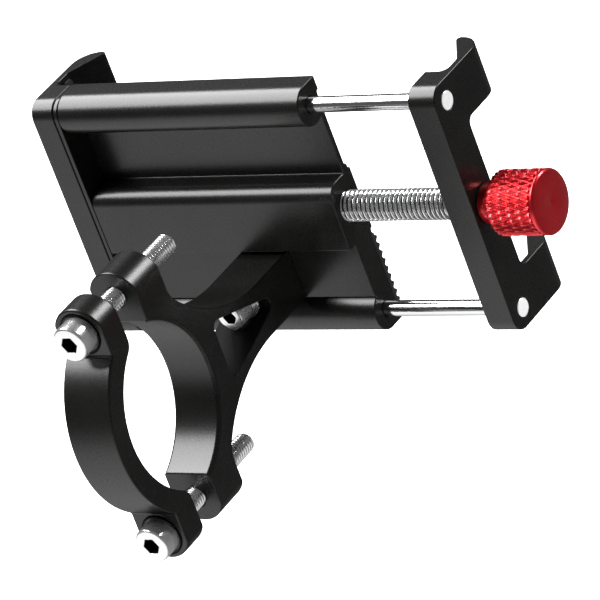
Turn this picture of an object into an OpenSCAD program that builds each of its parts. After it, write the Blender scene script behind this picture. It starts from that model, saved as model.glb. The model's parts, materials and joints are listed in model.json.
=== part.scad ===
// Phone mount for a handlebar: screw-driven jaw, extruded back plate and a split clamp.
// Origin: centre of the arm's handlebar saddle. X runs along the handlebar,
// Y runs from the clamp bolts' heads to the phone, Z points up. Millimetres.

/* [Show] */
// Which sub-part to draw

/* [Clamp] */
// Diameter of the handlebar that both half rings are cut for
bore_d = 35; // [22:0.1:40]
// Width of the half rings and of the arm along the handlebar
ring_w = 10.4; // [8:0.1:16]
// Radial wall of the half rings
ring_t = 4.4; // [3:0.1:8]
// Chamfer on the edges of the half rings' inner walls
bore_chamfer = 0.5; // [0.2:0.1:1]
// Y of the arm's parting face
arm_split_y = 6.6; // [2:0.1:10]
// Y of the cap's parting face, with the clamp nearly closed
cap_split_y = 0.3; // [-2:0.1:4]
// Y of the centre of the cap's inner wall, with the clamp nearly closed
cap_centre_y = 8.8; // [0:0.1:12]
// Thickness of the arm's bolt lugs along the bolts
arm_lug_t = 7.8; // [5:0.1:12]
// Thickness of the cap's bolt lugs along the bolts
cap_lug_t = 5.6; // [4:0.1:10]
// Radius of the lugs' rounded ends
lug_r = 5.6; // [5.2:0.1:8]
// Distance from the clamp's middle to the centre of a lug's rounded end
lug_end_z = 20.85; // [19:0.05:26]

/* [Clamp bolts] */
// Distance from the clamp's middle to each bolt's axis
bolt_z = 21.4; // [19:0.1:26]
// Outer diameter of the bolts
bolt_d = 3.94; // [2.9:0.01:6]
// Length of the bolts under their heads
bolt_l = 30; // [20:1:45]
// Diameter of the bolts' heads
bolt_head_d = 7; // [5:0.1:10]
// Height of the bolts' heads
bolt_head_h = 4; // [3:0.1:6]
// Width of the hexagon sockets across their flats
socket_af = 3; // [2:0.5:5]
// Depth of the hexagon sockets
socket_depth = 2.2; // [1.5:0.1:3]
// Depth of the round seats that the heads sit in
seat_depth = 0.3; // [0.1:0.1:1]

/* [Arm] */
// Z of the stem's middle
stem_z = -0.65; // [-3:0.05:3]
// Height of the stem where it meets the back plate
stem_h = 10.5; // [8:0.1:16]
// Y of the stem's seat on the back plate
foot_y = 48.7; // [40:0.1:60]
// Radius of the large hollows that blend the stem into the half ring
stem_blend_r = 28; // [20:0.5:40]
// Y of the upper hollow's centre
upper_blend_y = 37.4; // [34:0.1:44]
// Y of the lower hollow's centre
lower_blend_y = 36.5; // [34:0.1:44]
// Radius of the small hollows behind the lugs
lug_hollow_r = 5; // [2:0.1:8]
// Corner radius of the arm's three-sided window
window_r = 1.4; // [0.8:0.1:3]
// Y of the seat for the screw that holds the arm
arm_seat_y = 38.2; // [36:0.1:42]
// Z of the screw that holds the arm
arm_screw_z = 0.1; // [-2:0.1:2]
// Outer diameter of that screw
arm_screw_d = 2.94; // [2:0.01:5]
// Diameter of that screw's head
arm_head_d = 5.5; // [4:0.1:8]

/* [Back plate] */
// X of the plate's end beside the fixed jaw
plate_x0 = -34.1; // [-45:0.1:-25]
// X of the plate's end beside the moving jaw
plate_x1 = 20.8; // [15:0.1:30]
// Z of the plate's middle, which is the lead screw's height
plate_mid_z = 12.3; // [5:0.1:20]
// Distance from the plate's middle to each guide rod
rod_offset_z = 21.6; // [15:0.1:30]
// Y of the guide rods
rod_y = 50.7; // [45:0.1:56]
// Outer radius of the tubes that guide the rods
tube_r = 3.95; // [3:0.05:6]
// Y of the plate's front face
plate_front_y = 54.4; // [50:0.1:60]
// Y of the rear face of the thin web above the rib
web_y = 52.6; // [50:0.1:54]
// Y of the rib's rear face
rib_y = 47.1; // [44:0.1:50]
// Y of the front face in front of the rib
rib_front_y = 55; // [54:0.1:57]
// Height of the rib that holds the lead screw
rib_h = 12.8; // [9:0.1:18]
// Radius of the rib's rounded upper edge
rib_round_r = 2.9; // [1:0.1:4]

/* [Rods and lead screw] */
// Diameter of the guide rods
rod_d = 3; // [2:0.1:5]
// Y of the lead screw
screw_y = 51.2; // [48:0.1:54]
// Outer diameter of the lead screw's thread
screw_d = 5.9; // [4:0.1:8]
// Diameter of the lead screw's journal inside the moving jaw
journal_d = 5; // [3:0.1:6]
// Length of the rods and of the lead screw inside the plate
inserted_l = 23.3; // [10:0.1:30]
// Radial running clearance of the rods in their tubes
rod_gap = 0.04; // [0.01:0.01:0.1]
// Radial running clearance of the lead screw
screw_gap = 0.05; // [0.01:0.01:0.1]

/* [Jaws] */
// Height of both jaws
jaw_h = 50.8; // [40:0.1:70]
// Y of the jaws' rear faces
jaw_y = 46.6; // [44:0.1:50]
// Y of the front of the jaws' bars
jaw_bar_y = 54.5; // [50:0.1:58]
// Y of the tips of the jaws' hooks
jaw_tip_y = 66.6; // [60:0.1:75]
// Height of each ear
ear_h = 9.9; // [6:0.1:16]
// Wall thickness of the ears
ear_t = 1.4; // [1:0.1:3]
// Outer radius of the hooks at the ears' fronts
hook_r = 4.7; // [3:0.1:8]
// Radius of the jaws' rounded rear corners
jaw_corner_r = 3.3; // [1:0.1:5]
// Thickness of the moving jaw's bar
moving_t = 5.7; // [4:0.1:8]
// X of the moving jaw's inner face
moving_x = 45; // [21:0.1:62]
// Thickness of the fixed jaw's bar
fixed_t = 4.9; // [3:0.1:8]
// Thickness of the spacer between the fixed jaw and the plate
spacer_t = 1; // [0.5:0.1:2]
// Thickness of the soft liners inside the ears
liner_t = 0.7; // [0.4:0.1:1.5]
// Y of the liners' rear edges
liner_y = 56.3; // [56:0.1:58]
// Width of the liners along Y
liner_w = 2.4; // [1:0.1:4]

/* [Knob] */
// Outer diameter of the knob's gripping surface
knob_d = 12; // [9:0.1:20]
// Length of the knob's gripping surface
knob_l = 10.8; // [6:0.1:16]
// Diameter of the knob's collar
collar_d = 7.6; // [6:0.1:10]
// Length of the knob's collar
collar_l = 2.6; // [1:0.1:5]
// Thickness of the thrust washer
thrust_t = 0.25; // [0.2:0.05:1]

/* [Front pads] */
// Distance between the ribs of the front pads
pad_pitch = 1.65; // [1:0.05:3]
// Width of each rib of the front pads at its root
pad_rib_w = 1.2; // [0.6:0.1:2]
// Height of each rib of the front pads
pad_rib_h = 0.6; // [0.3:0.05:1]
// Number of ribs on each front pad
pad_ribs = 9; // [4:1:14]

/* [Hidden] */
$fn = 64;
eps = 0.01;
far = 60;
bore_r = bore_d / 2;
ring_r = bore_r + ring_t;
half_w = ring_w / 2;
stem_top = stem_z + stem_h / 2;
stem_low = stem_z - stem_h / 2;
arm_lug_y = arm_split_y + arm_lug_t;
cap_lug_y = cap_split_y - cap_lug_t;
lug_top_z = lug_end_z + lug_r;
// Centres of the window's rounded corners
window_a = [23.6, 4.1];
window_b = [23.5, -4.6];
window_c = [37.6, -0.5];
plate_l = plate_x1 - plate_x0;
fixed_x = plate_x0 - spacer_t;
rod_left_x = plate_x1 - inserted_l;
// Depth of the bores from the plate's open end, 1 mm deeper than the closed jaw needs
bore_l = inserted_l + (moving_x - plate_x1) + 1;
jaw_out_x = moving_x + moving_t;
// End play on each side of the thrust washer
thrust_gap = 0.04;
knob_x = jaw_out_x + 2 * thrust_gap + thrust_t;
rib_low_z = plate_mid_z - rib_h / 2 - 0.5;
rib_top_z = plate_mid_z + rib_h / 2 - 0.4;
upper_rod_z = plate_mid_z + rod_offset_z;
lower_rod_z = plate_mid_z - rod_offset_z - 0.15;
thread_end_x = moving_x - 1.4;
// Countersunk screws of the fixed jaw
jaw_screw_d = 2.9;
jaw_screw_head_d = 5.6;
jaw_screw_l = 10;
jaw_screw_z = [upper_rod_z, plate_mid_z, lower_rod_z];
// The screw that holds the arm
arm_screw_l = 15.5;
head_y = arm_seat_y - 1.4;
plain_washer_t = 0.6;
pad_base_y = 53.8;
pad_floor_y = 54.7;
pad_h = pad_pitch * (pad_ribs + 0.4);
lower_pad_z = -11.1;
upper_pad_z = 19.4;

// Turns a 2D outline drawn in Y and Z into a solid that runs along X
module along_x(x0, length) {
  translate([x0, 0, 0])
    rotate([90, 0, 90])
      linear_extrude(height = length)
        children();
}

// Turns a 2D outline drawn in X and Z into a solid that runs along Y
module along_y(y0, length) {
  translate([0, y0 + length, 0])
    rotate([90, 0, 0])
      linear_extrude(height = length)
        children();
}

// A cylinder along X from a point
module rod_x(x0, y, z, length, r) {
  translate([x0, y, z])
    rotate([0, 90, 0])
      cylinder(h = length, r = r);
}

// A cylinder along Y from a point
module rod_y_dir(x, y0, z, length, r) {
  translate([x, y0, z])
    rotate([-90, 0, 0])
      cylinder(h = length, r = r);
}

// The outline of both lug pairs and the ring seen along the bolts, in X and Z
module lug_outline() {
  intersection() {
    square([ring_w, 2 * lug_top_z + 2], center = true);
    union() {
      square([ring_w, 2 * lug_end_z], center = true);
      for (side = [-1, 1])
        translate([0, side * lug_end_z])
          circle(r = lug_r);
    }
  }
}

// A rectangle in Y and Z given by its limits
module box_yz(y0, y1, z0, z1) {
  translate([y0, z0])
    square([y1 - y0, z1 - z0]);
}

// The handlebar's space with chamfered edges, centred at a given Y
module bar_space(centre_y) {
  rod_x(-far, centre_y, 0, 2 * far, bore_r);
  for (side = [-1, 1])
    translate([side * (half_w - bore_chamfer), centre_y, 0])
      rotate([0, side * 90, 0])
        cylinder(h = bore_chamfer + eps, r1 = bore_r, r2 = bore_r + bore_chamfer + eps);
}

// Corner of the window: outward normal between two corner centres
function outward(a, b) = [b[1] - a[1], a[0] - b[0]] / norm(b - a);

// The arm's three-sided window in Y and Z, with rounded corners
module window_outline() {
  ab = outward(window_b, window_a) * window_r;
  bc = outward(window_c, window_b) * window_r;
  ca = outward(window_a, window_c) * window_r;
  polygon([
    window_a - ab,
    window_a - ca,
    window_c - ca,
    window_c - bc,
    window_b - bc,
    window_b - ab
  ]);
  for (corner = [window_a, window_b, window_c])
    translate(corner)
      circle(r = window_r);
}

// Fills the corner between a lug and the stem, bounded by a small and a large hollow:
// side is 1 above the stem and -1 below it
module flank(blend_y, side) {
  edge = side == 1 ? stem_top : stem_low;
  large = [blend_y, edge + side * stem_blend_r];
  apart = stem_blend_r - lug_hollow_r;
  run = blend_y - arm_lug_y - lug_hollow_r;
  small = [arm_lug_y + lug_hollow_r, large[1] - side * sqrt(apart * apart - run * run)];
  past = large + 2 * (small - large);
  difference() {
    box_yz(arm_lug_y - 1, blend_y, min(edge - side, small[1]), max(edge - side, small[1]));
    translate(small)
      circle(r = lug_hollow_r);
    intersection() {
      translate(large)
        circle(r = stem_blend_r);
      polygon([large, past, [blend_y + 1, past[1]], [blend_y + 1, large[1]]]);
    }
  }
}

// Arm: half ring with two threaded lugs, a stem and a window, screwed to the back plate
module arm() {
  counterbore_r = 3.5;
  counterbore_y = 27;
  color([0.05, 0.05, 0.055])
    difference() {
      intersection() {
        union() {
          along_x(-half_w, ring_w)
            box_yz(arm_split_y, arm_lug_y, -lug_top_z - 1, lug_top_z + 1);
          along_x(-half_w, ring_w)
            box_yz(arm_lug_y - 1, foot_y, stem_low, stem_top);
          along_x(-half_w, ring_w)
            flank(upper_blend_y, 1);
          along_x(-half_w, ring_w)
            flank(lower_blend_y, -1);
        }
        along_y(0, far)
          lug_outline();
      }
      along_x(-half_w - 1, ring_w + 2)
        window_outline();
      bar_space(0);
      for (side = [-1, 1])
        rod_y_dir(0, arm_split_y - 1, side * bolt_z, arm_lug_t + 2, bolt_d / 2 + 0.05);
      rod_y_dir(0, counterbore_y, arm_screw_z, arm_seat_y - counterbore_y, counterbore_r);
      rod_y_dir(0, arm_seat_y - 1, arm_screw_z, foot_y - arm_seat_y + 2, arm_screw_d / 2 + 0.15);
    }
}

// What is cut from the cap's parting face where it meets the inner wall: side is 1 at the top
module cap_corner(side) {
  r = 3;
  y = cap_split_y - r;
  reach = bore_r + r;
  z = side * sqrt(reach * reach - pow(cap_centre_y - y, 2));
  touch = [cap_centre_y - (cap_centre_y - y) * bore_r / reach, z * bore_r / reach];
  difference() {
    polygon([
      [cap_split_y + 1, z],
      [y, z],
      touch,
      [cap_split_y + 1, touch[1] - side]
    ]);
    translate([y, z])
      circle(r = r);
  }
}

// Clamp cap: the separate half ring with two plain lugs and round seats for the bolt heads
module clamp_cap() {
  color([0.05, 0.05, 0.055])
    difference() {
      intersection() {
        along_x(-half_w, ring_w)
          difference() {
            union() {
              intersection() {
                translate([cap_centre_y, 0])
                  circle(r = ring_r);
                box_yz(cap_centre_y - ring_r - 1, cap_split_y, -ring_r, ring_r);
              }
              box_yz(cap_lug_y, cap_split_y, 15, lug_top_z + 1);
              box_yz(cap_lug_y, cap_split_y, -lug_top_z - 1, -15);
            }
            for (side = [-1, 1])
              cap_corner(side);
          }
        along_y(-far, far + cap_split_y)
          lug_outline();
      }
      bar_space(cap_centre_y);
      for (side = [-1, 1]) {
        rod_y_dir(0, cap_lug_y - 1, side * bolt_z, cap_lug_t + 2, 2.2);
        rod_y_dir(0, cap_lug_y - 1, side * bolt_z, 1 + seat_depth, bolt_head_d / 2 + 0.5);
      }
    }
}

// A socket-head screw along +Y: head outside, underside of the head at the given Y
module socket_screw(under_y, z, length, shank_r, head_r, flats) {
  edge = 0.35;
  difference() {
    translate([0, under_y, z])
      rotate([-90, 0, 0])
        rotate_extrude()
          polygon([
            [0, -bolt_head_h],
            [head_r - edge, -bolt_head_h],
            [head_r, edge - bolt_head_h],
            [head_r, 0],
            [shank_r, 0],
            [shank_r, length - 2 * edge],
            [shank_r - 2 * edge, length],
            [0, length]
          ]);
    translate([0, under_y - bolt_head_h - 1, z])
      rotate([-90, 0, 0])
        cylinder(h = socket_depth + 1, r = flats / sqrt(3), $fn = 6);
  }
}

// The clamp bolt on one side: 1 is the upper one and -1 the lower one
module clamp_bolt(side) {
  color([0.75, 0.75, 0.77])
    socket_screw(cap_lug_y + seat_depth, side * bolt_z, bolt_l, bolt_d / 2, bolt_head_d / 2, socket_af);
}

module clamp_bolt_upper() {
  clamp_bolt(1);
}

module clamp_bolt_lower() {
  clamp_bolt(-1);
}

// Arm screw: holds the arm's stem on the back plate, head inside the window
module arm_screw() {
  color([0.75, 0.75, 0.77])
    socket_screw(head_y, arm_screw_z, arm_screw_l, arm_screw_d / 2, arm_head_d / 2, 2.5);
}

// A flat ring along +Y around the arm screw
module washer_y(y0, thickness, outer_r) {
  difference() {
    rod_y_dir(0, y0, arm_screw_z, thickness, outer_r);
    rod_y_dir(0, y0 - 1, arm_screw_z, thickness + 2, arm_screw_d / 2 + 0.1);
  }
}

// Lock washer: split ring under the arm screw's head
module arm_lock_washer() {
  color([0.7, 0.7, 0.72])
    difference() {
      washer_y(head_y, arm_seat_y - head_y - plain_washer_t, 2.7);
      translate([2.9, head_y, arm_screw_z])
        rotate([0, 0, 20])
          cube([4, 6, 0.5], center = true);
    }
}

// Plain washer on the arm's inner seat
module arm_plain_washer() {
  color([0.7, 0.7, 0.72])
    washer_y(arm_seat_y - plain_washer_t, plain_washer_t, 3.3);
}

// Outline of one tube: round at the rear, square at the front and at its outer side
module tube_outline(z, side) {
  intersection() {
    union() {
      translate([rod_y, z])
        circle(r = tube_r);
      box_yz(rod_y, plate_front_y, min(z, z + side * tube_r), max(z, z + side * tube_r));
    }
    box_yz(rod_y - tube_r - 1, plate_front_y, z - tube_r - 1, z + tube_r + 1);
  }
}

// Outline of the back plate in Y and Z
module plate_outline() {
  slot = 0.35;
  difference() {
    union() {
      tube_outline(upper_rod_z, 1);
      tube_outline(lower_rod_z, -1);
      box_yz(web_y, plate_front_y, rib_top_z - 1, upper_rod_z);
      box_yz(rib_y, rib_front_y, rib_low_z, rib_top_z - rib_round_r);
      box_yz(rib_y + rib_round_r, rib_front_y, rib_low_z, rib_top_z);
      translate([rib_y + rib_round_r, rib_top_z - rib_round_r])
        circle(r = rib_round_r);
      box_yz(foot_y, plate_front_y, lower_rod_z, rib_low_z + 1);
    }
    for (z0 = [lower_pad_z, upper_pad_z])
      box_yz(pad_base_y, plate_front_y + 1, z0, z0 + pad_h);
    box_yz(foot_y - 1, foot_y + slot, stem_low - 0.1 - slot, stem_low - 0.1);
  }
}

// Back plate: extrusion with a rod tube at each edge and a rib for the lead screw
module back_plate() {
  thread_depth = 4.6;
  color([0.05, 0.05, 0.055])
    difference() {
      along_x(plate_x0, plate_l)
        plate_outline();
      for (z = [upper_rod_z, lower_rod_z])
        rod_x(plate_x1 - bore_l, rod_y, z, bore_l + 1, rod_d / 2 + rod_gap);
      rod_x(plate_x1 - bore_l, screw_y, plate_mid_z, bore_l + 1, screw_d / 2 + screw_gap);
      for (z = jaw_screw_z)
        rod_x(plate_x0 - 1, rod_y, z, jaw_screw_l - fixed_t - spacer_t + 1.5, jaw_screw_d / 2 + 0.02);
      rod_y_dir(0, foot_y - 1, arm_screw_z, thread_depth + 1, arm_screw_d / 2 + 0.03);
    }
}

// A ribbed pad on the plate's front between two X limits, from a given Z upwards
module front_pad(x0, x1, z0) {
  color([0.09, 0.09, 0.095])
    along_x(x0, x1 - x0)
      union() {
        box_yz(pad_base_y, pad_floor_y, z0, z0 + pad_h);
        for (i = [0 : pad_ribs - 1])
          translate([pad_floor_y, z0 + (i + 0.7) * pad_pitch])
            polygon([
              [-0.2, -pad_rib_w / 2],
              [0, -pad_rib_w / 2],
              [pad_rib_h, -pad_rib_w / 4],
              [pad_rib_h, pad_rib_w / 4],
              [0, pad_rib_w / 2],
              [-0.2, pad_rib_w / 2]
            ]);
      }
}

// Upper pad: set in from the plate's ends
module pad_upper() {
  front_pad(plate_x0 + 3, plate_x1 - 3.5, upper_pad_z);
}

// Lower pad: runs to the plate's open end
module pad_lower() {
  front_pad(plate_x0 + 3, plate_x1, lower_pad_z);
}

// Outline of a jaw's bar in Y and Z, its rear corners rounded
module bar_outline(inset) {
  r = jaw_corner_r;
  low = plate_mid_z - jaw_h / 2 + inset;
  top = plate_mid_z + jaw_h / 2 - inset;
  box_yz(jaw_y + inset + r, jaw_bar_y, low, top);
  box_yz(jaw_y + inset, jaw_y + inset + r + 1, low + r, top - r);
  for (z = [low + r, top - r])
    translate([jaw_y + inset + r, z])
      circle(r = r);
}

// Outline of one ear in Y and Z, its inner front corner rounded: side is 1 for the upper ear
module ear_outline(side) {
  r = 1.2;
  y1 = jaw_tip_y;
  outer = plate_mid_z + side * jaw_h / 2;
  inner = outer - side * ear_h;
  inset = inner + side * r;
  box_yz(jaw_bar_y - 1, y1 - r, min(outer, inner), max(outer, inner));
  box_yz(jaw_bar_y, y1, min(outer, inset), max(outer, inset));
  translate([y1 - r, inset])
    circle(r = r);
}

// Blend between the bar and an ear's inner edge, in Y and Z
module ear_root(side) {
  r = 1.6;
  edge = plate_mid_z + side * (jaw_h / 2 - ear_h);
  difference() {
    translate([jaw_bar_y - 0.5, min(edge, edge - side * r)])
      square([r + 0.5, r]);
    translate([jaw_bar_y + r, edge - side * r])
      circle(r = r);
  }
}

// Outline of a jaw in X and Y, X measured outwards from the inner face
module jaw_section(thick) {
  ramp_y = 58.8;
  tip_x = thick - 5.4;
  tip_r = 0.8;
  root_r = 1.5;
  translate([0, jaw_y])
    square([thick, jaw_bar_y - jaw_y]);
  difference() {
    translate([thick - ear_t - root_r, jaw_bar_y - eps])
      square([root_r + eps, root_r + eps]);
    translate([thick - ear_t - root_r, jaw_bar_y + root_r])
      circle(r = root_r);
  }
  difference() {
    union() {
      translate([thick - ear_t, jaw_bar_y - 1])
        square([ear_t, jaw_tip_y - hook_r - jaw_bar_y + 1]);
      translate([thick - hook_r, jaw_tip_y - hook_r])
        circle(r = hook_r);
    }
    polygon([
      [-far, jaw_bar_y],
      [thick - ear_t, jaw_bar_y],
      [thick - ear_t, ramp_y],
      [tip_x, jaw_tip_y - 1.7],
      [tip_x, jaw_tip_y + 1],
      [-far, jaw_tip_y + 1]
    ]);
  }
  translate([tip_x + tip_r - 0.1, jaw_tip_y - tip_r - 0.15])
    circle(r = tip_r);
}

// A jaw with a bar and two hooked ears, X measured outwards from its inner face
module jaw_blank(thick) {
  intersection() {
    along_x(-far, 2 * far) {
      bar_outline(0);
      for (side = [-1, 1]) {
        ear_outline(side);
        ear_root(side);
      }
    }
    translate([0, 0, plate_mid_z - far])
      linear_extrude(height = 2 * far)
        jaw_section(thick);
  }
}

// Soft liners inside both ears of a jaw, X measured outwards from its inner face
module liners(thick) {
  for (side = [-1, 1])
    translate([
      thick - ear_t - liner_t,
      liner_y,
      plate_mid_z + side * (jaw_h / 2 - ear_h / 2) - ear_h / 2 + 0.9
    ])
      cube([liner_t, liner_w, ear_h - 1.8]);
}

// Fixed jaw: on the plate's left end, with three countersunk holes
module fixed_jaw() {
  color([0.05, 0.05, 0.055])
    difference() {
      translate([fixed_x, 0, 0])
        mirror([1, 0, 0])
          jaw_blank(fixed_t);
      for (z = jaw_screw_z) {
        rod_x(fixed_x - far, rod_y, z, far + 1, jaw_screw_d / 2 + 0.1);
        translate([fixed_x - fixed_t - eps, rod_y, z])
          rotate([0, 90, 0])
            cylinder(h = 1.5, r1 = jaw_screw_head_d / 2 + 0.06, r2 = jaw_screw_d / 2 + 0.05);
      }
    }
}

// Three countersunk screws that hold the fixed jaw and its spacer on the plate
module fixed_jaw_screws() {
  head_h = 1.45;
  color([0.12, 0.12, 0.13])
    for (z = jaw_screw_z)
      translate([fixed_x - fixed_t + 0.05, rod_y, z])
        rotate([0, 90, 0])
          difference() {
            union() {
              cylinder(h = head_h, r1 = jaw_screw_head_d / 2 - 0.05, r2 = jaw_screw_d / 2);
              cylinder(h = jaw_screw_l, r = jaw_screw_d / 2);
            }
            translate([0, 0, -1])
              cylinder(h = 2.1, r = 1 / cos(30), $fn = 6);
          }
}

module fixed_jaw_liners() {
  color([0.09, 0.09, 0.095])
    translate([fixed_x, 0, 0])
      mirror([1, 0, 0])
        liners(fixed_t);
}

// End spacer: thin plate between the fixed jaw and the extrusion
module end_spacer() {
  color([0.05, 0.05, 0.055])
    difference() {
      along_x(fixed_x, spacer_t)
        bar_outline(0.15);
      for (z = jaw_screw_z)
        rod_x(fixed_x - 1, rod_y, z, spacer_t + 2, jaw_screw_d / 2 + 0.1);
    }
}

// Moving jaw: pushed and pulled by the lead screw, guided by two rods
module moving_jaw() {
  color([0.05, 0.05, 0.055])
    difference() {
      translate([moving_x, 0, 0])
        jaw_blank(moving_t);
      for (z = [upper_rod_z, lower_rod_z]) {
        rod_x(moving_x - 1, rod_y, z, moving_t + 2, rod_d / 2 + 0.02);
        rod_x(jaw_out_x - 1.6, rod_y, z, 3, rod_d / 2 + 0.27);
      }
      rod_x(moving_x - 1, screw_y, plate_mid_z, moving_t + 2, journal_d / 2 + 0.06);
    }
}

module moving_jaw_liners() {
  color([0.09, 0.09, 0.095])
    translate([moving_x, 0, 0])
      liners(moving_t);
}

// A guide rod with a flush head in the moving jaw's outer face
module guide_rod(z) {
  color([0.8, 0.8, 0.82]) {
    rod_x(rod_left_x, rod_y, z, jaw_out_x - rod_left_x - 0.5, rod_d / 2);
    rod_x(jaw_out_x - 1.6, rod_y, z, 1.62, rod_d / 2 + 0.25);
  }
}

module guide_rod_upper() {
  guide_rod(upper_rod_z);
}

module guide_rod_lower() {
  guide_rod(lower_rod_z);
}

// Lead screw: threaded into the rib, plain shoulder and journal at the moving jaw
module lead_screw() {
  point = 0.8;
  shoulder_r = screw_d / 2 - 0.1;
  journal_end = knob_x + collar_l + knob_l - 4 - rod_left_x;
  color([0.8, 0.8, 0.82])
    translate([rod_left_x, screw_y, plate_mid_z])
      rotate([0, 90, 0])
        rotate_extrude()
          polygon([
            [0, 0],
            [screw_d / 2 - point, 0],
            [screw_d / 2, point],
            [screw_d / 2, thread_end_x - rod_left_x],
            [shoulder_r, thread_end_x - rod_left_x],
            [shoulder_r, moving_x - 0.1 - rod_left_x],
            [journal_d / 2, moving_x - 0.1 - rod_left_x],
            [journal_d / 2, journal_end],
            [0, journal_end]
          ]);
}

// Thrust washer between the knob's collar and the moving jaw
module thrust_washer() {
  color([0.06, 0.06, 0.06])
    difference() {
      rod_x(jaw_out_x + thrust_gap, screw_y, plate_mid_z, thrust_t, 3.5);
      rod_x(jaw_out_x - 1, screw_y, plate_mid_z, thrust_t + 3, journal_d / 2 + 0.05);
    }
}

// Knob: pressed on the lead screw's journal
module knob() {
  edge = 0.4;
  body_r = knob_d / 2;
  total = collar_l + knob_l;
  rim = 0.85;
  groove_w = 0.4;
  color([0.75, 0.03, 0.08])
    translate([knob_x, screw_y, plate_mid_z])
      rotate([0, 90, 0])
        difference() {
          rotate_extrude()
            polygon([
              [0, 0],
              [collar_d / 2 - 0.2, 0],
              [collar_d / 2, 0.2],
              [collar_d / 2, collar_l],
              [body_r - 0.9, collar_l],
              [body_r, collar_l + 0.7],
              [body_r, total - rim - groove_w],
              [body_r - 0.4, total - rim - groove_w],
              [body_r - 0.4, total - rim],
              [body_r, total - rim],
              [body_r, total - edge],
              [body_r - edge, total],
              [0, total]
            ]);
          translate([0, 0, -1])
            cylinder(h = total - 4 + 1.1, r = journal_d / 2 + 0.01);
          translate([0, 0, total - 0.35])
            cylinder(h = 1, r1 = 0.15, r2 = 1.6);
        }
}

arm();
clamp_cap();
clamp_bolt_upper();
clamp_bolt_lower();
arm_screw();
arm_lock_washer();
arm_plain_washer();
back_plate();
pad_upper();
pad_lower();
end_spacer();
fixed_jaw();
fixed_jaw_screws();
fixed_jaw_liners();
moving_jaw();
moving_jaw_liners();
guide_rod_upper();
guide_rod_lower();
lead_screw();
thrust_washer();
knob();
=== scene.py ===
"""Looks of the phone handlebar mount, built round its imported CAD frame.

Lengths are in millimetres until a mesh is made; lights, floor and camera are in metres.
"""

import json
from math import atan2, cos, degrees, hypot, pi, radians, sin, sqrt

import bmesh
import bpy
from mathutils import Matrix, Vector


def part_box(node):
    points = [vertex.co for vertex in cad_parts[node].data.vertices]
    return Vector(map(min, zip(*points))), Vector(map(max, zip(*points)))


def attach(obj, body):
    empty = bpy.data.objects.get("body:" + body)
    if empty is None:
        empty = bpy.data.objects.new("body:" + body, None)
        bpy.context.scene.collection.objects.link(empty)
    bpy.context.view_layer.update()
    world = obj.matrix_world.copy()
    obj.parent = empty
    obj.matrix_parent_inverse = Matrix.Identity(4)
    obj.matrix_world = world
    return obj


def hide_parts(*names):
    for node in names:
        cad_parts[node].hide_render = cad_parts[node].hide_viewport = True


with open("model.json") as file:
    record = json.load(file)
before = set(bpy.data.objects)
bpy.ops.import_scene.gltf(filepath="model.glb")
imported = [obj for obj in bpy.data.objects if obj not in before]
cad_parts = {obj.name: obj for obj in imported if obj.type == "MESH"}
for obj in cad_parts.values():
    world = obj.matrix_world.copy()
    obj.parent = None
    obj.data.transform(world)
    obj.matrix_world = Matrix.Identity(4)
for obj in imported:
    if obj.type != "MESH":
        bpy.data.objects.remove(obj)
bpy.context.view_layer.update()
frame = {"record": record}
MM = 0.001


# ---------------------------------------------------------------- frame boxes
def node_box(name):
    """The CAD node's box in millimetres."""
    low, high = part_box(name)
    return low / MM, high / MM


def middle(name):
    low, high = node_box(name)
    return (low + high) / 2


arm_hi = node_box("arm")[1]
cap_lo, cap_hi = node_box("clamp_cap")
plate_lo, plate_hi = node_box("back_plate")
fixed_lo, fixed_hi = node_box("fixed_jaw")
moving_lo, moving_hi = node_box("moving_jaw")
knob_lo, knob_hi = node_box("knob")
screw_mid = middle("lead_screw")
rod_hi_mid = middle("guide_rod_upper")
rod_lo_mid = middle("guide_rod_lower")
bore = next(m for m in frame["record"]["mounts"] if m["name"] == "handlebar_clamp")
BORE_R = bore["dims"].get("r_mm", 17.5)
RING_R = BORE_R + 4.4
HALF_W = arm_hi.x
FOOT_Y = arm_hi.y
LUG_TOP = arm_hi.z


# ---------------------------------------------------------------- mesh helpers
def arc(cu, cv, r, a0, a1, n=24):
    """Points on an arc from a0 to a1 degrees."""
    steps = [radians(a0 + (a1 - a0) * i / n) for i in range(n + 1)]
    return [(cu + r * cos(t), cv + r * sin(t)) for t in steps]


def tidy_outline(points):
    """The outline without points that repeat the one before."""
    kept = []
    for p in points:
        if not kept or hypot(p[0] - kept[-1][0], p[1] - kept[-1][1]) > 1e-4:
            kept.append(p)
    if hypot(kept[0][0] - kept[-1][0], kept[0][1] - kept[-1][1]) < 1e-4:
        kept.pop()
    return kept


def place(axis, t, u, v):
    """A point t along an axis, and u, v across it in X, Y, Z order."""
    if axis == "X":
        return Vector((t, u, v)) * MM
    if axis == "Y":
        return Vector((u, t, v)) * MM
    return Vector((u, v, t)) * MM


def to_object(name, bm, smooth=True):
    bmesh.ops.recalc_face_normals(bm, faces=bm.faces)
    for face in bm.faces:
        face.smooth = smooth
    mesh = bpy.data.meshes.new(name)
    bm.to_mesh(mesh)
    bm.free()
    obj = bpy.data.objects.new(name, mesh)
    bpy.context.collection.objects.link(obj)
    return obj


def prism(name, outline, axis, low, high):
    """A closed outline pushed along an axis."""
    bm = bmesh.new()
    points = tidy_outline(outline)
    rows = [[bm.verts.new(place(axis, t, u, v)) for u, v in points] for t in (low, high)]
    count = len(points)
    for i in range(count):
        j = (i + 1) % count
        bm.faces.new((rows[0][i], rows[0][j], rows[1][j], rows[1][i]))
    bm.faces.new(rows[0])
    bm.faces.new(list(reversed(rows[1])))
    return to_object(name, bm)


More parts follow.
